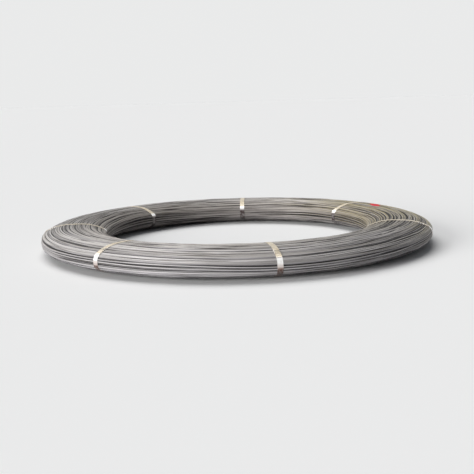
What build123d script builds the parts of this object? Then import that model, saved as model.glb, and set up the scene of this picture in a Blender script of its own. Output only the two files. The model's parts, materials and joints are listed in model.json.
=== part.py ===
from build123d import *
import math
import os

# Coil of drawn steel wire: one long wire laid up as a low, wide ring, tied with flat steel straps
# that are closed with crimped seals. The ring lies flat and rests on its straps. Millimetres, +Z up,
# origin in the middle of the ring at the level that the straps rest on.

# Ring
bore_diameter = 1700.0
outside_diameter = 2540.0
coil_height = 170.0
rest_width = 60.0  # width over which the section is flat, under and over the ring
bore_land = 30.0  # height over which it is upright at the bore
outer_land = 12.0  # and at the outside
shoulder_turn = 27.0  # degrees that the outline turns on its wide crown before the tight side bend

# Wire
wire_diameter = 7.0
turn_depth = 2.0  # depth of the valley between two turns, where the next layer closes it

# Straps: the angle of each round the ring, in degrees from +X
strap_azimuths = [-5.0, 47.0, 99.0, 147.0, 196.0, 244.0, 292.0]
strap_width = 32.0
strap_thickness = 0.9
seat_gap = 0.3  # clearance between a strap and the turns, and between a seal and its strap

# Seals
seal_length = 40.0
seal_thickness = 1.2
seal_lean = 19.0  # degrees from the vertical, on the upper outer shoulder
notch_radius = 2.0
notch_spacing = 14.0

# Worked out from the sizes above
build_width = (outside_diameter - bore_diameter) / 2
middle_radius = (outside_diameter + bore_diameter) / 4
seal_width = strap_width + 2 * (seat_gap + seal_thickness)
strap_inside = seat_gap  # distances out from the ring's outline
strap_outside = strap_inside + strap_thickness
seal_inside = strap_outside + seat_gap
seal_outside = seal_inside + seal_thickness
ring_base = strap_outside  # height of the lowest turns
ring_middle = ring_base + coil_height / 2
seal_reach = 3 * seal_outside  # half the height of the block that a seal is cut from

# A stretch of an outline is a radius and a turn in degrees, or 0 and a length
rest = (0, rest_width)

os.makedirs("parts", exist_ok=True)


def shoulder(land_height):
    """The two radii that join a rest flat to an upright land with one smooth bend."""
    width = (build_width - rest_width) / 2
    height = (coil_height - land_height) / 2
    sine = math.sin(math.radians(shoulder_turn))
    cosine = math.cos(math.radians(shoulder_turn))
    shared = sine * cosine - (1 - sine) * (1 - cosine)
    crown_radius = (width * cosine - height * (1 - sine)) / shared
    side_radius = (height * sine - width * (1 - cosine)) / shared
    return crown_radius, side_radius


outer_crown_radius, outer_side_radius = shoulder(outer_land)
inner_crown_radius, inner_side_radius = shoulder(bore_land)


def outline_stretches(outset):
    """The outline's stretches outside and inside its rest flats, grown by a given distance."""
    outer_crown = (outer_crown_radius + outset, shoulder_turn)
    outer_side = (outer_side_radius + outset, 90 - shoulder_turn)
    inner_side = (inner_side_radius + outset, 90 - shoulder_turn)
    inner_crown = (inner_crown_radius + outset, shoulder_turn)
    outside = [outer_crown, outer_side, (0, outer_land), outer_side, outer_crown]
    inside = [inner_crown, inner_side, (0, bore_land), inner_side, inner_crown]
    return outside, inside


def outline_run(start, heading, stretches):
    """A smooth run of the section's outline, with the radius as x and the height as y."""
    place = Vector(*start)
    direction = Vector(*heading)
    with BuildLine() as run:
        for radius, amount in stretches:
            if radius:
                edge = JernArc(place, direction, radius, amount)
            else:
                edge = Line(place, place + direction * amount)
            place = edge @ 1
            direction = edge % 1
    return run.wire()


def section_face(outset):
    """The ring's smooth section, grown by a given distance all round."""
    outside, inside = outline_stretches(outset)
    start = (middle_radius + rest_width / 2, ring_base - outset)
    with BuildSketch() as section:
        make_face(outline_run(start, (1, 0), [*outside, rest, *inside, rest]).edges())
    return section.sketch


def add_turns(run):
    """Follow a run of the outline with one ridge for each turn of wire that shows there."""
    count = round(run.length / wire_diameter)
    pitch = run.length / count

    def crest(index):
        return run.position_at(index * pitch, position_mode=PositionMode.LENGTH)

    def heading(index):
        return run.tangent_at(index * pitch, position_mode=PositionMode.LENGTH)

    def valley(index):
        return crest(index) + heading(index).rotate(Axis.Z, 90) * turn_depth

    points = [crest(0)]
    for index in range(count):
        points += [valley(index + 0.5), crest(index + 1)]
    Polyline(*points)


def radial_plane(azimuth):
    """The upright plane through the ring's axis, with the radius as x and the height as y."""
    angle = math.radians(azimuth)
    outward = Vector(math.cos(angle), math.sin(angle), 0)
    return Plane(origin=(0, 0, 0), x_dir=outward, z_dir=outward.cross(Vector(0, 0, 1)))


def seal_plane(azimuth):
    """The plane that a seal lies in, on the upper outer shoulder, with x down the shoulder."""
    lean = math.radians(seal_lean)
    frame = radial_plane(azimuth)
    up_normal = Vector(math.sin(lean), math.cos(lean), 0)
    down_slope = Vector(math.cos(lean), -math.sin(lean), 0)
    crown_centre = Vector(middle_radius + rest_width / 2, ring_base + coil_height - outer_crown_radius, 0)
    place = frame.from_local_coords(crown_centre + up_normal * outer_crown_radius)
    origin = frame.from_local_coords(Vector(0, 0, 0))
    return Plane(
        origin=place,
        x_dir=frame.from_local_coords(down_slope) - origin,
        z_dir=frame.from_local_coords(up_normal) - origin,
    )


# The wound wire: one turned solid with its bore, and its turns all round apart from the bore's wall
outside, inside = outline_stretches(0)
bore_wall_foot = (bore_diameter / 2, ring_middle - bore_land / 2)
turned_stretches = [*inside[3:], rest, *outside, rest, *inside[:2]]
turned_run = outline_run(bore_wall_foot, (0, -1), turned_stretches)

with BuildPart() as wire_coil:
    with BuildSketch(Plane.XZ):
        with BuildLine():
            add_turns(turned_run)
            Line(turned_run @ 1, turned_run @ 0)
        make_face()
    revolve(axis=Axis.Z)

wire_coil.part.label = "wire_coil"
export_step(wire_coil.part, "parts/wire_coil.step")


for number, azimuth in enumerate(strap_azimuths, start=1):
    # A strap: one turn of flat band round the section
    with BuildPart() as strap:
        with BuildSketch(radial_plane(azimuth)):
            add(section_face(strap_outside))
            add(section_face(strap_inside), mode=Mode.SUBTRACT)
        extrude(amount=strap_width / 2, both=True)
    strap.part.label = f"strap_{number}"
    export_step(strap.part, f"parts/strap_{number}.step")

    # A seal: a folded clip that straddles its strap, with crimped notches along its edges
    with BuildPart() as seal:
        with BuildSketch(seal_plane(azimuth)):
            Rectangle(seal_length, seal_width)
        extrude(amount=seal_reach, both=True)
        with BuildSketch(radial_plane(azimuth)):
            add(section_face(seal_outside))
            add(section_face(strap_inside), mode=Mode.SUBTRACT)
        extrude(amount=seal_width, both=True, mode=Mode.INTERSECT)
        with BuildSketch(radial_plane(azimuth)):
            add(section_face(seal_inside))
        extrude(amount=strap_width / 2 + seat_gap, both=True, mode=Mode.SUBTRACT)
        with BuildSketch(seal_plane(azimuth)):
            with GridLocations(notch_spacing, seal_width, 2, 2):
                Circle(notch_radius)
        extrude(amount=seal_reach, both=True, mode=Mode.SUBTRACT)
    seal.part.label = f"seal_{number}"
    export_step(seal.part, f"parts/seal_{number}.step")
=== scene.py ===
import json
import math

import bpy
import numpy as np
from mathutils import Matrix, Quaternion, Vector


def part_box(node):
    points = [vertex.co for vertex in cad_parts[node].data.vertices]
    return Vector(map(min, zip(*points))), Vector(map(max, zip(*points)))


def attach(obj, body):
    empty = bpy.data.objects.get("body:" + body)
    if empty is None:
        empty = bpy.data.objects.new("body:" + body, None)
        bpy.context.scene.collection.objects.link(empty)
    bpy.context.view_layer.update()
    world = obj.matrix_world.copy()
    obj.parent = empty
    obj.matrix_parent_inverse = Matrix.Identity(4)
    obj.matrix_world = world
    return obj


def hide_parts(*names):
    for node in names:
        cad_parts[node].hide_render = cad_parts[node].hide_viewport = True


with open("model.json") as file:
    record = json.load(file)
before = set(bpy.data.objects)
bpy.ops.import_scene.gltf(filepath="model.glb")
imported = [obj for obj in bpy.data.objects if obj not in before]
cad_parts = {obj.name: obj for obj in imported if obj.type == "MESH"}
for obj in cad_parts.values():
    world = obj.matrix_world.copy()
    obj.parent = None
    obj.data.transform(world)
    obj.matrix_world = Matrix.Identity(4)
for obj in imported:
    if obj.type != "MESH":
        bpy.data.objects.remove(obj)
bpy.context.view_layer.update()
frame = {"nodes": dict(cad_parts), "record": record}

# Coil of drawn steel wire: lengths of round wire on a helix over a plain core, tied with flat straps
# that are closed with crimped seals. Metres, +Z up, origin in the middle of the ring at the level that
# the straps rest on.

# Ring
RING_LOW, RING_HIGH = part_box("wire_coil")
OUTER_RADIUS = RING_HIGH.x
BORE_RADIUS = frame["record"]["mounts"][0]["dims"]["r_mm"] / 1000
MIDDLE_RADIUS = (OUTER_RADIUS + BORE_RADIUS) / 2
BUILD = OUTER_RADIUS - BORE_RADIUS
HEIGHT = RING_HIGH.z - RING_LOW.z
MIDDLE_HEIGHT = (RING_HIGH.z + RING_LOW.z) / 2
REST_WIDTH = 0.060                   # width over which the section is flat, under and over the ring
BORE_LAND = 0.030                    # height over which it is upright at the bore
OUTER_LAND = 0.012                   # and at the outside
SHOULDER_TURN = math.radians(27)     # turn of the outline on its wide crown before the tight side bend

# Places round the section, as a share of the way from the middle of the bore side, down and under
UNDERSIDE, TOP = 0.25, 0.75

# Wire
WIRE = 0.0070                        # diameter
OUTER_SPACING, UNDER_SPACING = 0.0084, 0.0078
OUTER_WANDER, UNDER_WANDER = 1.0, 0.8         # how far the turns stray, against the lay's waves
OUTER_UNEVEN, UNDER_UNEVEN = 0.0015, 0.0008   # how uneven their depth is
OUTER_SEED, UNDER_SEED = 14, 8
OUTER_STATIONS, UNDER_STATIONS = 224, 144     # steps along one turn
OUTER_SIDES, UNDER_SIDES = 8, 5      # faces round the wire
OUTER_LENGTHS = (0, 0.34, 0.67, 1)   # where the outer layer is parted, as shares of its turns
LAYER_STEP = 0.0061                  # one layer's crests below the next one's
LAST_END, FIRST_END = 4, 6           # stations past the joint where the wire's two ends lie
CORE_DEPTH = 0.0165                  # depth of the core below the outline
CORE_AROUND, CORE_STEPS = 96, 120    # its faces round the ring and round the section

# Straps and seals
STRAPS = sorted(name for name in frame["nodes"] if name.startswith("strap_"))
SEALS = sorted(name for name in frame["nodes"] if name.startswith("seal_"))
STRAP_WIDTH = 0.032
STRAP_THICKNESS = 0.0009
STRAP_GAP = 0.00005                  # between a strap and the highest turns
SEAL_LENGTH, SEAL_THICKNESS = 0.040, 0.0012
SEAL_LEAN = math.radians(19)         # from the vertical, on the upper outer shoulder
SEAL_STEPS = 41
SEAL_INSIDE = 0.94                   # width of its inside, as a share of its outside
SEAL_LOWEST = -0.0004                # how far a seal's inside may reach in between the turns
MILLIMETRE = 0.001

# A seal's section from one folded edge to the middle: the place across, as a share of half the strap's
# width, and the height in millimetres over the two thicknesses of strap
SEAL_FOLD = ((1.06, -2.3), (1.08, -1.0), (1.04, 0.6), (0.97, 1.2), (0.85, 1.35), (0.6, 1.4), (0.3, 1.4))
SEAL_MIDDLE_RISE = 1.4

# Crimped notches
NOTCH_PLACE, NOTCH_REACH = 0.007, 0.0030     # along the seal, either way from its middle
NOTCH_FROM, NOTCH_WIDTH = 0.55, 0.45         # across it, as shares of half the strap's width
NOTCH_PINCH = 0.20                           # how much narrower the seal gets in a notch
NOTCH_DEPTH = 0.0016
NOTCH_DARK_MIDDLE = 0.25                     # how dark the painted shade is in the middle of the seal, against its edges

# A strap's free end over the strap's loop: where it starts and ends from the seal's middle
END_START, END_STOP, END_STEPS = 0.055, -0.024, 22
END_WIDTH = 0.985                    # its width, as a share of the strap's
END_GAP = 0.0001                     # between it and the loop
END_RISE = 0.0014                    # how far its tip stands up
RISE_FROM, RISE_REACH = 0.026, 0.03

# Course of a strap over the turns
BAND_SEED = 50
BAND_SLANT = (0.001, 0.004)          # least and most that a strap runs out of its plane
SHORTEST_STRAIGHT = 0.003
COURSE_STEP = 0.002
COURSE_ROUNDING = 4                  # steps on either side over which its direction is taken

FULL_TURN = 2 * math.pi


def azimuth_of(node):
    low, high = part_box(node)
    middle = (low + high) / 2
    return math.atan2(middle.y, middle.x)


STRAP_AZIMUTHS = [azimuth_of(name) for name in STRAPS]
START_AZIMUTH = azimuth_of("strap_5")     # where one turn passes into the next

# Lie of the turns: waves of their places round the section
DRIFT_WAVES = ((2, 0.011, 0.4), (3, 0.008, 2.1), (5, 0.0045, 4.0))     # waves round the ring, size, phase
LAY_WAVES = (                        # size, number, least and most round the section, most round the ring
    (0.0042, 9, (2, 9), 5),
    (0.0020, 18, (10, 26), 4),
    (0.0022, 26, (27, 60), 6),
)
STRAY, STRAY_REACH = 0.0040, 0.05    # a turn's own wandering: its size, and how long it is in turns
STRAY_HELD = 0.3                     # how much of it is left at a strap

# Lie of the turns: their depth
UNEVEN_REACH, DROP_REACH, PROUD_REACH = 0.045, 0.09, 0.06     # how long the changes are, in turns
DROP_FROM, PROUD_FROM = 0.9, 1.5     # spreads of the noise past which a turn is slack or stands proud
DROP = 0.0042                        # how far a slack turn sinks below its neighbours
DEPTH_HELD = 0.1                     # how much of the unevenness is left at a strap
SLACK_REACH = 0.30                   # radians from a strap within which it holds the turns
PINCH = 0.0030                       # how far a strap pulls the turns in
UNPINCHED, UNPINCHED_REACH = 1.1, 0.20     # the underside's part in that, where the ring rests on the straps
RECESS = 0.0019                      # how far in most turns lie between the straps

# Lie of the turns: the fan of loose ones on top of the ring
FAN_AZIMUTH, FAN_REACH = math.radians(13), math.radians(42)
FAN_WIDTH = 0.22                     # either way from the middle of the top, as a share of the section
FAN_DROP = 0.0150                    # how far some of its turns sink
SUNKEN_EVERY = (2, 5)                # least number of turns from one of them to the next, and most plus one
SUNKEN_SIZE = (0.5, 1.2)             # least and most of each one's share of that depth
SUNKEN_FROM = 0.45                   # share of the way round the section past which they are

# Keeping the turns apart
PUSH, PUSH_ROUNDS = 0.45, 90
SMOOTH_EVERY, SMOOTH_ROUNDS = 6, 70
CLOSEST = 0.55                       # least distance along the outline, as a share of the wire
KERNEL = np.exp(-np.linspace(-1.6, 1.6, 7) ** 2)
KERNEL /= KERNEL.sum()

# Brightness of the turns, in spreads of the noise
TONE_DRIFT, TONE_REACH = 0.6, 0.25   # changes along the wire, and how long they are in turns
TONE_WAVES = (0.12, 20, (4, 30), 3)  # size, number, least and most round the section, most round the ring
TONE_EACH, TONE_BESIDE = 1.45, 0.70  # each turn's own, less the one beside it
TONE_FAN_CALM = 0.65                 # how much of a turn's own is gone on the fan
# The fan's turns a little lighter; painted shade on its sunken turns and on slack turns, where they lie deep
TONE_FAN, SUNKEN_PAINTED_SHADE, DROPPED_PAINTED_SHADE = 0.4, -5.0, -1.2

# Dust on top, thickest on one side of the ring, and how far round the section the painted shade of the bore
# side reaches
DUST_AZIMUTH, DUST_REACH = math.radians(30), math.radians(66)
DUST_LEAST = 0.25
BORE_REACH = 0.62 * math.pi

# A daub of red paint on top of the ring
DAUB_PLACE = (0.878, 0.662)          # of its middle, seen from above
DAUB_HALF = (0.034, 0.095)           # half its width and half its length
DAUB_TURN = math.radians(12)


# Outline of the section
def shoulder_radii(land):
    """The radii of the crown and the side bend that join a rest flat to an upright land."""
    width = (BUILD - REST_WIDTH) / 2
    height = (HEIGHT - land) / 2
    sine, cosine = math.sin(SHOULDER_TURN), math.cos(SHOULDER_TURN)
    shared = sine * cosine - (1 - sine) * (1 - cosine)
    crown = (width * cosine - height * (1 - sine)) / shared
    side = (height * sine - width * (1 - cosine)) / shared
    return crown, side


def outline_table(step):
    """Its length, with points and headings all along it, from the middle of the bore side down and under."""
    side_turn = math.pi / 2 - SHOULDER_TURN
    bore_crown, bore_side = shoulder_radii(BORE_LAND)
    outer_crown, outer_side = shoulder_radii(OUTER_LAND)
    stretches = [
        (0, BORE_LAND / 2), (bore_side, side_turn), (bore_crown, SHOULDER_TURN), (0, REST_WIDTH),
        (outer_crown, SHOULDER_TURN), (outer_side, side_turn), (0, OUTER_LAND),
        (outer_side, side_turn), (outer_crown, SHOULDER_TURN), (0, REST_WIDTH),
        (bore_crown, SHOULDER_TURN), (bore_side, side_turn), (0, BORE_LAND / 2),
    ]
    lengths = [radius * amount if radius else amount for radius, amount in stretches]
    turns = [amount if radius else 0.0 for radius, amount in stretches]
    ends = np.concatenate([[0], np.cumsum(lengths)])
    turned = np.concatenate([[0], np.cumsum(turns)])
    count = int(round(ends[-1] / step))
    step = ends[-1] / count
    heading = np.interp((np.arange(count) + 0.5) * step, ends, turned) - math.pi / 2
    radius = BORE_RADIUS + np.cumsum(np.cos(heading)) * step
    height = MIDDLE_HEIGHT + np.cumsum(np.sin(heading)) * step
    return ends[-1], radius, height, heading


PERIMETER, OUTLINE_R, OUTLINE_Z, OUTLINE_HEADING = outline_table(0.0005)


def section_point(along, depth):
    """Radius and height of points at a distance along the outline and a depth below it."""
    place = np.mod(along, PERIMETER) / PERIMETER * len(OUTLINE_R)
    index = np.floor(place).astype(int) % len(OUTLINE_R)
    following = (index + 1) % len(OUTLINE_R)
    part = place - np.floor(place)
    radius = OUTLINE_R[index] * (1 - part) + OUTLINE_R[following] * part
    height = OUTLINE_Z[index] * (1 - part) + OUTLINE_Z[following] * part
    heading = OUTLINE_HEADING[index]
    return radius - np.sin(heading) * depth, height + np.cos(heading) * depth


# Noise that closes on itself, and smooth steps
def smooth_noise(rng, count, reach):
    """Random values round a closed run of count points, alike over reach points, with unit spread."""
    spectrum = np.fft.rfft(rng.normal(size=count))
    spectrum *= np.exp(-(np.arange(len(spectrum)) * reach / count) ** 2)
    spectrum[0] = 0
    values = np.fft.irfft(spectrum, count)
    return values / values.std()


def wave_field(rng, along, angle, modes, turns, circuits):
    """Waves over the ring's surface with unit spread: along is 0 to 1 round the section."""
    values = np.zeros_like(along)
    for _ in range(modes):
        section_waves = rng.integers(turns[0], turns[1] + 1)
        ring_waves = rng.integers(-circuits, circuits + 1)
        phase = rng.uniform(0, FULL_TURN)
        values += np.sin(FULL_TURN * section_waves * along + ring_waves * angle + phase) / section_waves
    return values / values.std()


def drift(angle):
    """How far the lay of the turns creeps round the section from place to place along the ring."""
    return sum(size * np.sin(waves * angle + phase) for waves, size, phase in DRIFT_WAVES)


def bump(value, centre, reach):
    """1 at centre, falling smoothly to 0 at reach on either side."""
    part = np.clip(np.abs(value - centre) / reach, 0, 1)
    return (1 - part * part) ** 2


def turned_away(angle, centre):
    """The angle from centre, between minus and plus pi."""
    return np.mod(angle - centre + math.pi, FULL_TURN) - math.pi


def looseness(angle):
    """0 at a strap, 1 well away from all of them."""
    nearest = np.full_like(angle, math.pi)
    for azimuth in STRAP_AZIMUTHS:
        nearest = np.minimum(nearest, np.abs(turned_away(angle, azimuth)))
    part = np.clip(nearest / SLACK_REACH, 0, 1)
    return part * part * (3 - 2 * part)


def pinched(share):
    """How much of the straps' pull is felt: none on the underside, where the ring rests on them."""
    return 1 - UNPINCHED * bump(np.mod(share, 1.0), UNDERSIDE, UNPINCHED_REACH)


class Layer:
    """One layer of turns: a single helix of wire that closes on itself round the ring's surface."""

    def __init__(self, seed, spacing, sunk, stations, wander, unevenness):
        self.rng = np.random.default_rng(seed)
        self.stations = stations
        self.count = int(PERIMETER / spacing)
        self.total = self.count * stations
        steps = np.arange(self.total)
        self.share = steps / self.total
        self.angle = START_AZIMUTH + (steps % stations) / stations * FULL_TURN
        self.loose = looseness(self.angle)
        near_fan = bump(turned_away(self.angle, FAN_AZIMUTH), 0, FAN_REACH)
        self.fan = near_fan * bump(self.share, TOP, FAN_WIDTH)
        self.set_depth(sunk, unevenness)
        self.set_place(wander)
        self.set_tone()

    def noise(self, reach):
        """Noise along the wire, with its reach in turns."""
        return smooth_noise(self.rng, self.total, self.stations * reach)

    def waves(self, modes, turns, circuits):
        return wave_field(self.rng, self.share, self.angle, modes, turns, circuits)

    def set_depth(self, sunk, unevenness):
        """Depth below the outline: pressed flush at the straps, uneven between them."""
        uneven = np.abs(self.noise(UNEVEN_REACH)) * unevenness
        self.dropped = np.clip(self.noise(DROP_REACH) - DROP_FROM - self.fan, 0, 1)
        proud = np.clip(self.noise(PROUD_REACH) - PROUD_FROM, 0, 1)
        depth = (uneven + self.dropped * DROP) * (DEPTH_HELD + self.loose)
        self.sunken = self.sunken_turns()
        depth += FAN_DROP * self.fan * self.sunken
        depth += PINCH * pinched(self.share) * (1 - self.loose) + RECESS * self.loose * (1 - proud)
        self.depth = WIRE / 2 + sunk + depth

    def sunken_turns(self):
        """How far each turn of the fan sinks: none, apart from every second to fourth."""
        sunken = np.zeros(self.count)
        chosen = np.cumsum(self.rng.integers(*SUNKEN_EVERY, self.count // 4))
        sunken[chosen] = self.rng.uniform(*SUNKEN_SIZE, len(chosen))
        return np.repeat(np.roll(sunken, round(SUNKEN_FROM * self.count)), self.stations)

    def set_place(self, wander):
        """Place round the section: bunched into bands with gaps between them."""
        base = self.share * PERIMETER
        shift = drift(self.angle)
        for size, modes, turns, circuits in LAY_WAVES:
            shift += size * wander * self.waves(modes, turns, circuits)
        shift += STRAY * self.noise(STRAY_REACH) * (STRAY_HELD + (1 - STRAY_HELD) * self.loose)
        self.place = base + self.pushed_apart(shift, base)

    def pushed_apart(self, shift, base):
        """Push turns apart until none overlaps its neighbours, keeping each one's run smooth."""
        depth = self.depth.reshape(self.count, self.stations)
        step = np.roll(depth, -1, axis=0) - depth
        needed = np.sqrt(np.clip(WIRE ** 2 - step ** 2, (CLOSEST * WIRE) ** 2, None))
        base = base.reshape(self.count, self.stations)
        for turn in range(PUSH_ROUNDS):
            place = base + shift.reshape(self.count, self.stations)
            gap = np.roll(place, -1, axis=0) - place
            gap[-1] += PERIMETER
            lack = PUSH * np.clip(needed - gap, 0, None)
            place = place - lack + np.roll(lack, 1, axis=0)
            shift = (place - base).reshape(-1)
            if turn % SMOOTH_EVERY == 0 and turn < SMOOTH_ROUNDS:
                shift = np.convolve(np.concatenate([shift[-3:], shift, shift[:3]]), KERNEL, "valid")
        return shift

    def set_tone(self):
        """Brightness of the wire: each turn's own, with painted shade where it lies deep."""
        size, modes, turns, circuits = TONE_WAVES
        self.tone = TONE_DRIFT * self.noise(TONE_REACH)
        self.tone += size * self.waves(modes, turns, circuits)
        each = self.rng.normal(size=self.count)
        own = np.repeat(TONE_EACH * each - TONE_BESIDE * np.roll(each, 1), self.stations)
        self.tone += own * (1 - TONE_FAN_CALM * self.fan)
        # Painted shade on the fan's sunken turns and on slack turns
        self.tone += self.fan * (TONE_FAN + SUNKEN_PAINTED_SHADE * self.sunken)
        self.tone += DROPPED_PAINTED_SHADE * self.dropped * self.loose

    def centreline(self):
        radius, height = section_point(self.place, self.depth)
        return radius * np.cos(self.angle), radius * np.sin(self.angle), height


# Meshes
def mesh_piece(name, points, quads, extra, material, smooth=True):
    """A mesh object from an array of points, an array of quads and a few other faces."""
    mesh = bpy.data.meshes.new(name)
    corner_counts = np.concatenate([np.full(len(quads), 4), [len(face) for face in extra]]).astype(np.int32)
    corners = np.concatenate([quads.reshape(-1)] + [np.array(face) for face in extra]).astype(np.int32)
    mesh.vertices.add(len(points))
    mesh.vertices.foreach_set("co", points.astype(np.float32).reshape(-1))
    mesh.loops.add(len(corners))
    mesh.loops.foreach_set("vertex_index", corners)
    mesh.polygons.add(len(corner_counts))
    starts = np.concatenate([[0], np.cumsum(corner_counts)[:-1]]).astype(np.int32)
    mesh.polygons.foreach_set("loop_start", starts)
    mesh.update(calc_edges=True)
    mesh.validate()
    if smooth:
        mesh.shade_smooth()
        mesh.set_sharp_from_angle(angle=math.radians(50))
    else:
        mesh.shade_flat()
    mesh.materials.append(material)
    piece = bpy.data.objects.new(name, mesh)
    bpy.context.collection.objects.link(piece)
    return piece


def grid_quads(rows, columns, closed):
    """Quads over a grid whose rows close on themselves; closed also joins the last row to the first."""
    row = np.arange(rows if closed else rows - 1)[:, None]
    column = np.arange(columns)
    after_row = (row + 1) % rows * columns
    after_column = (column + 1) % columns
    row = row * columns
    corners = [row + column, after_row + column, after_row + after_column, row + after_column]
    return np.stack(corners, axis=-1).reshape(-1, 4)


def mark(piece, name, values):
    """Give each point of a piece a named value."""
    attribute = piece.data.attributes.new(name, "FLOAT", "POINT")
    attribute.data.foreach_set("value", values.astype(np.float32))


def mark_vectors(piece, name, values):
    """Give each point of a piece a named vector."""
    attribute = piece.data.attributes.new(name, "FLOAT_VECTOR", "POINT")
    attribute.data.foreach_set("vector", values.astype(np.float32).reshape(-1))


def daubed(points):
    """1 in the middle of the daub, 0 from its edge outwards."""
    sine, cosine = math.sin(DAUB_TURN), math.cos(DAUB_TURN)
    x, y = points[:, 0] - DAUB_PLACE[0], points[:, 1] - DAUB_PLACE[1]
    across = (x * cosine + y * sine) / DAUB_HALF[0]
    along = (y * cosine - x * sine) / DAUB_HALF[1]
    above = points[:, 2] > MIDDLE_HEIGHT
    return np.clip(1 - along ** 2 - across ** 2, 0, 1) * above


def tube_piece(name, layer, start, stop, sides, material):
    """The wire of a layer from one station to another as one mesh of round wire, with closed ends."""
    steps = np.arange(start, stop + 1)
    index = steps % layer.total
    rings = len(index)
    x, y, z = (values[index] for values in layer.centreline())
    angle = layer.angle[index]
    turn = np.arange(sides) / sides * FULL_TURN
    out, up = np.cos(turn) * WIRE / 2, np.sin(turn) * WIRE / 2
    points = np.empty((rings, sides, 3))
    points[:, :, 0] = x[:, None] + np.cos(angle)[:, None] * out
    points[:, :, 1] = y[:, None] + np.sin(angle)[:, None] * out
    points[:, :, 2] = z[:, None] + up
    points = points.reshape(-1, 3)
    caps = [list(range(sides)), list(range(rings * sides - 1, (rings - 1) * sides - 1, -1))]
    piece = mesh_piece(name, points, grid_quads(rings, sides, False), caps, material)

    # The wire's own coordinates for its streaks: along it, round it, and the turn's number
    run = np.repeat(steps / layer.stations * FULL_TURN * MIDDLE_RADIUS, sides)
    number = np.repeat(index // layer.stations, sides)
    mark_vectors(piece, "lay", np.stack([run, np.tile(turn, rings), number], axis=-1))

    dust = DUST_LEAST + (1 - DUST_LEAST) * bump(turned_away(angle, DUST_AZIMUTH), 0, DUST_REACH)
    inward = bump(turned_away(layer.place[index] / PERIMETER * FULL_TURN, 0), 0, BORE_REACH)
    mark(piece, "tone", np.repeat(layer.tone[index], sides))
    mark(piece, "dust", np.repeat(dust, sides))
    mark(piece, "bore", np.repeat(inward, sides))
    mark(piece, "paint", daubed(points))
    return piece


def core_piece(material):
    """The mass of wire beneath the shown layers, as a plain ring painted near black as shade."""
    along = np.arange(CORE_STEPS) / CORE_STEPS * PERIMETER
    radius, height = section_point(along, CORE_DEPTH)
    azimuth = np.arange(CORE_AROUND) / CORE_AROUND * FULL_TURN
    points = np.empty((CORE_AROUND, CORE_STEPS, 3))
    points[:, :, 0] = np.cos(azimuth)[:, None] * radius
    points[:, :, 1] = np.sin(azimuth)[:, None] * radius
    points[:, :, 2] = height
    quads = grid_quads(CORE_AROUND, CORE_STEPS, True)
    return mesh_piece("core", points.reshape(-1, 3), quads, [], material)


def shell_piece(name, outer, inner, closed, material, smooth):
    """A closed sheet between two grids of points; closed joins the last row to the first."""
    rows, columns = outer.shape[:2]
    offset = rows * columns
    quads = []

    def wall(a, b, flip):
        quad = (a, b, b + offset, a + offset)
        quads.append(quad[::-1] if flip else quad)

    for row in range(rows if closed else rows - 1):
        first, after = row * columns, (row + 1) % rows * columns
        for column in range(columns - 1):
            quad = (first + column, first + column + 1, after + column + 1, after + column)
            quads.append(quad)
            quads.append(tuple(corner + offset for corner in quad[::-1]))
        wall(first, after, False)
        wall(first + columns - 1, after + columns - 1, True)
    if not closed:
        for first, flip in ((0, True), ((rows - 1) * columns, False)):
            for column in range(columns - 1):
                wall(first + column, first + column + 1, flip)
    points = np.concatenate([outer.reshape(-1, 3), inner.reshape(-1, 3)])
    return mesh_piece(name, points, np.array(quads), [], material, smooth)


# Course of the straps
def turn_of(first, second, third):
    """More than 0 where the way from the first point over the second to the third turns left."""
    return (second[0] - first[0]) * (third[1] - first[1]) - (second[1] - first[1]) * (third[0] - first[0])


def hull(points):
    """The convex hull of points in a plane, counter-clockwise."""
    ordered = sorted(map(tuple, points))

    def half(run):
        chain = []
        for point in run:
            while len(chain) > 1 and turn_of(chain[-2], chain[-1], point) <= 0:
                chain.pop()
            chain.append(point)
        return chain[:-1]

    return np.array(half(ordered) + half(ordered[::-1]))


def side_lengths(corners):
    """The closed run of corners, and the lengths of its sides."""
    closed = np.vstack([corners, corners[:1]])
    return closed, np.hypot(*np.diff(closed, axis=0).T)


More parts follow.
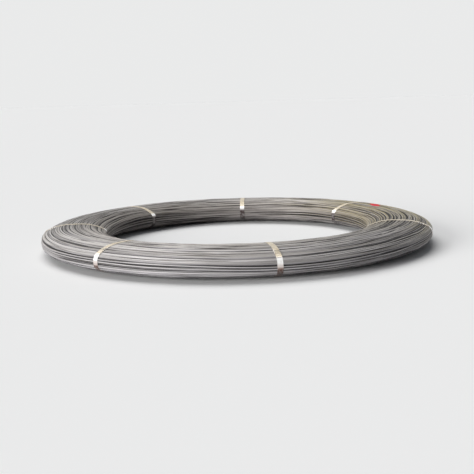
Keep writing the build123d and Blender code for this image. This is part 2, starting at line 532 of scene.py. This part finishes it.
class Band:
    """The course of a taut strap over the turns at one azimuth, as radius and height."""

    def __init__(self, azimuth, number, layer):
        self.azimuth = azimuth
        rng = np.random.default_rng(BAND_SEED + number)
        self.slant, self.phase = rng.uniform(*BAND_SLANT), rng.uniform(0, FULL_TURN)
        step = round((azimuth - START_AZIMUTH) / FULL_TURN * layer.stations) % layer.stations
        index = np.arange(layer.count) * layer.stations + step
        crests = layer.depth[index] - WIRE / 2
        radius, height = section_point(layer.place[index], crests)
        corners = hull(np.stack([radius, height], axis=-1))
        corners = corners[side_lengths(corners)[1] > SHORTEST_STRAIGHT]
        closed, lengths = side_lengths(corners)
        ends = np.concatenate([[0], np.cumsum(lengths)])
        self.corner_places = ends[:-1]
        self.length = ends[-1]
        self.fine = np.arange(0, self.length, COURSE_STEP)
        self.run = np.stack([np.interp(self.fine, ends, closed[:, axis]) for axis in (0, 1)], axis=-1)
        ahead = np.roll(self.run, -COURSE_ROUNDING, axis=0) - np.roll(self.run, COURSE_ROUNDING, axis=0)
        ahead /= np.hypot(*ahead.T)[:, None]
        self.out = np.stack([ahead[:, 1], -ahead[:, 0]], axis=-1)
        lean = self.out @ np.array([math.sin(SEAL_LEAN), math.cos(SEAL_LEAN)])
        self.seal_place = self.fine[np.argmax(lean)]

    def at(self, along, values):
        """Values of the course at distances along it."""
        along = np.mod(along, self.length)
        columns = [np.interp(along, self.fine, values[:, axis], period=self.length) for axis in (0, 1)]
        return np.stack(columns, axis=-1)

    def placed(self, along, aside, outset):
        """Points in space: distances along the course, across it and out from it."""
        out = self.at(along, self.out)
        out = out / np.linalg.norm(out, axis=-1, keepdims=True)
        flat = self.at(along, self.run) + out * outset[..., None]
        radius, height = flat[..., 0], flat[..., 1]
        aside = aside + self.slant * np.sin(FULL_TURN * np.asarray(along) / self.length + self.phase)
        sine, cosine = math.sin(self.azimuth), math.cos(self.azimuth)
        return np.stack([radius * cosine - aside * sine, radius * sine + aside * cosine, height], axis=-1)


def loop_piece(name, band, material):
    """The strap's loop round the ring, flat from corner to corner."""
    along = np.repeat(band.corner_places[:, None], 2, axis=1)
    aside = np.tile([-STRAP_WIDTH / 2, STRAP_WIDTH / 2], (len(along), 1))
    outer = band.placed(along, aside, np.full(along.shape, STRAP_THICKNESS))
    inner = band.placed(along, aside, np.full(along.shape, STRAP_GAP))
    piece = shell_piece(name, outer, inner, True, material, False)
    places = np.concatenate([outer.reshape(-1, 3), inner.reshape(-1, 3)])
    mark(piece, "bore", np.hypot(places[:, 0], places[:, 1]) < MIDDLE_RADIUS)
    return piece


def end_piece(name, band, material):
    """The strap's free end, which lies over its loop under the seal and stands up a little at its tip."""
    stretch = np.linspace(END_START, END_STOP, END_STEPS)
    along = np.repeat((band.seal_place - stretch)[:, None], 2, axis=1)
    aside = np.tile([-STRAP_WIDTH / 2, STRAP_WIDTH / 2], (len(along), 1)) * END_WIDTH
    rise = END_GAP + END_RISE * np.clip((stretch - RISE_FROM) / RISE_REACH, 0, 1) ** 2
    low = STRAP_THICKNESS + np.repeat(rise[:, None], 2, axis=1)
    outer = band.placed(along, aside, low + STRAP_THICKNESS)
    inner = band.placed(along, aside, low)
    return shell_piece(name, outer, inner, False, material, True)


def seal_piece(name, band, material):
    """A folded sleeve over both thicknesses of strap, crimped at two places along each edge."""
    half = STRAP_WIDTH / 2
    length = np.linspace(-SEAL_LENGTH / 2, SEAL_LENGTH / 2, SEAL_STEPS)
    fold = np.array(SEAL_FOLD)
    across = np.concatenate([-fold[:, 0], [0], fold[::-1, 0]]) * half
    rise = np.concatenate([fold[:, 1], [SEAL_MIDDLE_RISE], fold[::-1, 1]]) * MILLIMETRE
    crimp = np.exp(-((np.abs(length) - NOTCH_PLACE) / NOTCH_REACH) ** 2)[:, None]
    edge = np.clip((np.abs(across) / half - NOTCH_FROM) / NOTCH_WIDTH, 0, 1)[None, :]
    aside = across[None, :] * (1 - NOTCH_PINCH * crimp * edge)
    outset = 2 * STRAP_THICKNESS + rise[None, :] - NOTCH_DEPTH * crimp * edge
    along = band.seal_place + np.repeat(length[:, None], len(across), axis=1)
    outer = band.placed(along, aside, outset)
    inner = band.placed(along, aside * SEAL_INSIDE, np.maximum(outset - SEAL_THICKNESS, SEAL_LOWEST))
    piece = shell_piece(name, outer[::-1], inner[::-1], False, material, True)
    # Painted shade in the crimped notches, weaker towards the middle of the seal
    dark = NOTCH_DARK_MIDDLE + (1 - NOTCH_DARK_MIDDLE) * edge
    notch = np.clip(crimp * dark, 0, 1)[::-1]
    mark(piece, "notch", np.tile(notch.reshape(-1), 2))
    return piece


# Colours
OUTER_WIRE = ((0.05, 0.047, 0.05, 1), (0.40, 0.384, 0.394, 1), (0.66, 0.64, 0.65, 1))     # dark, mid, light
# The turns beneath: painted shade, far darker than the outer wire, for the gaps between the outer turns
PAINTED_SHADE_UNDER_WIRE = ((0.02, 0.019, 0.019, 1), (0.048, 0.045, 0.044, 1), (0.09, 0.085, 0.082, 1))
# The core: painted shade, near black, for the deep gaps between the turns
CORE_PAINTED_SHADE = (0.02, 0.019, 0.018, 1)
OUTER_DUST, OUTER_DUST_SHARE = (0.315, 0.265, 0.125, 1), 1.0
# Dust on the turns beneath, darkened as painted shade
UNDER_DUST_AND_SHADE, INNER_DUST_SHARE = (0.08, 0.07, 0.052, 1), 0.4
BORE_WIRE_PAINTED_SHADE = (0.82, 0.79, 0.75, 1)             # what the painted shade on the bore side leaves of the wire's colour
PAINT = (0.56, 0.02, 0.04, 1)
STEEL = ((0.86, 0.85, 0.83, 1), (0.97, 0.96, 0.945, 1))     # of straps and seals: dull, bright
CREAM = ((0.38, 0.305, 0.19, 1), (0.72, 0.61, 0.43, 1))     # dust on them: thick, thin
BROWN = ((0.50, 0.34, 0.28, 1), (0.12, 0.065, 0.05, 1))     # painted dark reflection of the ground on them: on the sides, underneath
BORE_STRAP_SHADE_RISE = 0.35                         # how much higher up the painted dark reaches on the bore side, as painted shade
BORE_STRAP_PAINTED_SHADE = (0.30, 0.27, 0.32, 1)       # what the painted shade on the bore side leaves of its colour
NOTCH_SHADE = (0.03, 0.028, 0.025, 1)
FLOOR_SEEN = (0.95, 0.945, 0.935, 1)
FLOOR_LIT = (0.32, 0.315, 0.31, 1)            # the floor's part in the light from below
BACKGROUND = (0.820, 0.8245, 0.8245, 1)       # as bright as the floor far off
SKY = (0.88, 0.93, 1.0, 1)
SKY_STRENGTH = 0.15


# Materials
class Nodes:
    """A short way to make and join the nodes of one tree."""

    def __init__(self, tree):
        self.tree = tree
        self.tree.nodes.clear()

    def add(self, kind, **settings):
        node = self.tree.nodes.new(kind)
        for key, value in settings.items():
            setattr(node, key, value)
        return node

    def join(self, source, target):
        self.tree.links.new(source, target)

    def feed(self, socket, value):
        if isinstance(value, bpy.types.NodeSocket):
            self.join(value, socket)
        else:
            socket.default_value = value

    def math(self, operation, first, second=0.0, clamp=False):
        node = self.add("ShaderNodeMath", operation=operation, use_clamp=clamp)
        self.feed(node.inputs[0], first)
        self.feed(node.inputs[1], second)
        return node.outputs[0]

    def mix(self, factor, first, second, blend="MIX"):
        node = self.add("ShaderNodeMix", data_type="RGBA", blend_type=blend)
        self.feed(node.inputs[0], factor)
        self.feed(node.inputs[6], first)
        self.feed(node.inputs[7], second)
        return node.outputs[2]

    def spread(self, value, low, high, to_low=0.0, to_high=1.0):
        node = self.add("ShaderNodeMapRange", interpolation_type="SMOOTHSTEP")
        for socket, number in zip(node.inputs, (value, low, high, to_low, to_high)):
            self.feed(socket, number)
        return node.outputs[0]

    def noise(self, vector, scale, detail=3.0, roughness=0.6):
        node = self.add("ShaderNodeTexNoise")
        self.join(vector, node.inputs["Vector"])
        node.inputs["Scale"].default_value = scale
        node.inputs["Detail"].default_value = detail
        node.inputs["Roughness"].default_value = roughness
        return node.outputs["Fac"]

    def attribute(self, name, output="Fac"):
        return self.add("ShaderNodeAttribute", attribute_name=name).outputs[output]

    def stretched(self, vector, scale):
        node = self.add("ShaderNodeMapping")
        self.join(vector, node.inputs["Vector"])
        node.inputs["Scale"].default_value = scale
        return node.outputs["Vector"]

    def object_place(self):
        return self.add("ShaderNodeTexCoord").outputs["Object"]

    def facing_up(self):
        """The upward part of the surface's direction."""
        normal = self.add("ShaderNodeSeparateXYZ")
        self.join(self.add("ShaderNodeNewGeometry").outputs["Normal"], normal.inputs[0])
        return normal.outputs["Z"]

    def seen(self):
        """1 where the surface is looked at, straight, mirrored or through glass, and 0 for its light."""
        path = self.add("ShaderNodeLightPath").outputs
        seen = self.math("MAXIMUM", path["Is Camera Ray"], path["Is Glossy Ray"])
        return self.math("MAXIMUM", seen, path["Is Transmission Ray"])


def new_material(name):
    """A material, its nodes and the inputs of its shader."""
    material = bpy.data.materials.new(name)
    material.use_nodes = True
    n = Nodes(material.node_tree)
    shader = n.add("ShaderNodeBsdfPrincipled")
    output = n.add("ShaderNodeOutputMaterial")
    n.join(shader.outputs["BSDF"], output.inputs["Surface"])
    return material, n, shader.inputs


def wire_material(name, shades, dust, dust_share):
    """Drawn steel wire: grey, streaked along its length, with pale brown dust on what faces up."""
    material, n, shader = new_material(name)
    dark, mid, light = shades
    tone = n.attribute("tone")
    lay = n.attribute("lay", "Vector")
    streak = n.noise(n.stretched(lay, (2.4, 0.35, 7.31)), 1.0, 4.0, 0.65)
    # The tone holds each turn's own brightness and the painted shade on turns that lie deep
    level = n.math("ADD", n.math("MULTIPLY", tone, 0.25), n.spread(streak, 0.25, 0.75))
    colour = n.mix(n.spread(level, -0.1, 0.5), dark, mid)
    colour = n.mix(n.spread(level, 0.5, 1.15), colour, light)

    patchy = n.noise(n.stretched(lay, (0.9, 0.5, 3.7)), 1.0, 4.0)
    facing = n.spread(n.facing_up(), 0.05, 0.75)
    covered = n.math("MULTIPLY", n.math("MULTIPLY", facing, n.spread(patchy, 0.2, 0.5)), dust_share)
    covered = n.math("MULTIPLY", covered, n.spread(tone, -2.0, 0.2, 0.1, 1.0))
    covered = n.math("MULTIPLY", covered, n.attribute("dust"), clamp=True)
    colour = n.mix(covered, colour, dust)
    # Painted shade on the bore side
    colour = n.mix(n.attribute("bore"), colour, BORE_WIRE_PAINTED_SHADE, "MULTIPLY")

    ragged = n.math("MULTIPLY", n.noise(n.object_place(), 45.0, 2.0), 0.6)
    painted = n.spread(n.math("ADD", n.attribute("paint"), ragged), 0.45, 0.55)
    painted = n.math("MULTIPLY", painted, n.spread(n.attribute("paint"), 0.0, 0.05))
    n.feed(shader["Base Color"], n.mix(painted, colour, PAINT))
    n.feed(shader["Metallic"], n.spread(n.math("MAXIMUM", covered, painted), 0.0, 1.0, 0.20, 0.0))
    shader["Specular IOR Level"].default_value = 0.15
    n.feed(shader["Roughness"], n.spread(streak, 0.2, 0.8, 0.42, 0.58))
    return material


def plain_material(name, colour, roughness):
    material, _, shader = new_material(name)
    shader["Base Color"].default_value = colour
    shader["Roughness"].default_value = roughness
    return material


def band_material(name, notched):
    """Bright steel strap: cream dust on top, a painted dark reflection in brown where it turns under."""
    material, n, shader = new_material(name)
    place = n.object_place()
    up = n.facing_up()
    blotch = n.noise(place, 55.0, 3.0)
    fine = n.noise(place, 210.0, 4.0)
    steel = n.mix(n.spread(blotch, 0.35, 0.65), *STEEL)
    dusty = n.math("MULTIPLY", n.spread(up, 0.80, 0.93), n.spread(blotch, 0.35, 0.6, 0.75, 1.0))
    cream = n.mix(n.spread(fine, 0.40, 0.58), *CREAM)
    colour = n.mix(dusty, steel, cream)

    # Painted dark reflection of the ground where the strap turns under, matte and brown
    lower = n.math("SUBTRACT", up, n.math("MULTIPLY", n.attribute("bore"), BORE_STRAP_SHADE_RISE))
    painted_dark_reflection = n.math("MULTIPLY", n.spread(lower, 0.20, -0.22), n.spread(blotch, 0.3, 0.6, 0.75, 1.0))
    brown = n.mix(n.spread(lower, 0.1, -0.38), *BROWN)
    # Painted shade on the bore side: darker still there
    brown = n.mix(n.attribute("bore"), brown, BORE_STRAP_PAINTED_SHADE, "MULTIPLY")
    colour = n.mix(painted_dark_reflection, colour, brown)
    if notched:
        # Painted shade in the crimped notches, matte
        painted_notch_shade = n.spread(n.attribute("notch"), 0.05, 0.24)
        colour = n.mix(painted_notch_shade, colour, NOTCH_SHADE)
        painted_dark_reflection = n.math("MAXIMUM", painted_dark_reflection, painted_notch_shade)
    n.feed(shader["Base Color"], colour)
    n.feed(shader["Metallic"], n.spread(n.math("MAXIMUM", painted_dark_reflection, dusty), 0.0, 1.0, 0.95, 0.12))
    n.feed(shader["Roughness"], n.spread(fine, 0.3, 0.7, 0.30, 0.46))
    return material


# The wire
outer_wire = wire_material("outer_wire", OUTER_WIRE, OUTER_DUST, OUTER_DUST_SHARE)
# The turns beneath, in colours painted dark as shade
painted_shade_under_wire = wire_material("painted_shade_under_wire", PAINTED_SHADE_UNDER_WIRE, UNDER_DUST_AND_SHADE, INNER_DUST_SHARE)
# The core, painted near black as shade
core_painted_shade = plain_material("core_painted_shade", CORE_PAINTED_SHADE, 0.8)
outer_layer = Layer(OUTER_SEED, OUTER_SPACING, 0.0, OUTER_STATIONS, OUTER_WANDER, OUTER_UNEVEN)
under_layer = Layer(UNDER_SEED, UNDER_SPACING, LAYER_STEP, UNDER_STATIONS, UNDER_WANDER, UNDER_UNEVEN)

wire_pieces = [core_piece(core_painted_shade)]
edges = [round(outer_layer.count * share) * OUTER_STATIONS for share in OUTER_LENGTHS]
edges[0] += FIRST_END
edges[-1] += LAST_END
for number, (first, last) in enumerate(zip(edges, edges[1:]), start=1):
    piece = tube_piece(f"outer_turns_{number}", outer_layer, first, last, OUTER_SIDES, outer_wire)
    wire_pieces.append(piece)
wire_pieces.append(tube_piece("under_turns", under_layer, 0, under_layer.total - 1, UNDER_SIDES, painted_shade_under_wire))
for piece in wire_pieces:
    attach(piece, "root")
    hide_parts("wire_coil")

# The straps and seals
strap_steel = band_material("strap_steel", False)
seal_steel = band_material("seal_steel", True)
for number, (strap, seal) in enumerate(zip(STRAPS, SEALS)):
    band = Band(STRAP_AZIMUTHS[number], number, outer_layer)
    loop = loop_piece("visual_" + strap, band, strap_steel)
    end = end_piece("visual_" + strap + "_end", band, strap_steel)
    for piece in (loop, end):
        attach(piece, "root")
        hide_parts(strap)
    piece = seal_piece("visual_" + seal, band, seal_steel)
    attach(piece, "root")
    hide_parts(seal)


# Floor and light
def add_stage():
    bpy.ops.mesh.primitive_plane_add(size=400, location=(0, 0, 0))
    floor = bpy.context.object
    floor.name = "floor"
    material, n, shader = new_material("floor")
    n.feed(shader["Base Color"], n.mix(n.seen(), FLOOR_LIT, FLOOR_SEEN))
    shader["Roughness"].default_value = 0.9
    shader["Specular IOR Level"].default_value = 0.0
    floor.data.materials.append(material)


def add_world():
    """Soft light from all round; the eye and reflections see a pale backdrop like the floor."""
    world = bpy.data.worlds.new("world")
    bpy.context.scene.world = world
    world.use_nodes = True
    n = Nodes(world.node_tree)
    lit = n.add("ShaderNodeBackground")
    lit.inputs["Color"].default_value = SKY
    lit.inputs["Strength"].default_value = SKY_STRENGTH
    backdrop = n.add("ShaderNodeBackground")
    backdrop.inputs["Color"].default_value = BACKGROUND
    mix = n.add("ShaderNodeMixShader")
    output = n.add("ShaderNodeOutputWorld")
    n.join(n.seen(), mix.inputs[0])
    n.join(lit.outputs[0], mix.inputs[1])
    n.join(backdrop.outputs[0], mix.inputs[2])
    n.join(mix.outputs[0], output.inputs["Surface"])


def add_sun(name, from_direction, strength, spread):
    data = bpy.data.lights.new(name, "SUN")
    data.energy = strength
    data.angle = math.radians(spread)
    light = bpy.data.objects.new(name, data)
    bpy.context.collection.objects.link(light)
    light.rotation_euler = Vector(from_direction).to_track_quat("Z", "Y").to_euler()


add_stage()
add_world()
add_sun("key", (-0.74, -1.02, 0.24), strength=3.4, spread=30)
add_sun("overhead", (-0.40, 0.30, 1.0), strength=1.85, spread=60)
bpy.context.scene.view_settings.view_transform = "Standard"

# Camera at the photograph's viewpoint
CAMERA_PLACE = Vector((1.144, -5.40, MIDDLE_HEIGHT + 0.866))
CAMERA_AIM = Vector((0.0, 0.0, 0.039))
CAMERA_ROLL = math.radians(-1.71)
FOCAL_PIXELS, FRAME_PIXELS = 842.0, 474.0


def add_camera():
    data = bpy.data.cameras.new("camera")
    camera = bpy.data.objects.new("camera", data)
    bpy.context.collection.objects.link(camera)
    data.sensor_width = 36.0
    data.lens = data.sensor_width * FOCAL_PIXELS / FRAME_PIXELS
    camera.location = CAMERA_PLACE
    level = (CAMERA_AIM - CAMERA_PLACE).to_track_quat("-Z", "Y")
    camera.rotation_euler = (level @ Quaternion((0, 0, 1), CAMERA_ROLL)).to_euler()
    bpy.context.scene.camera = camera


add_camera()
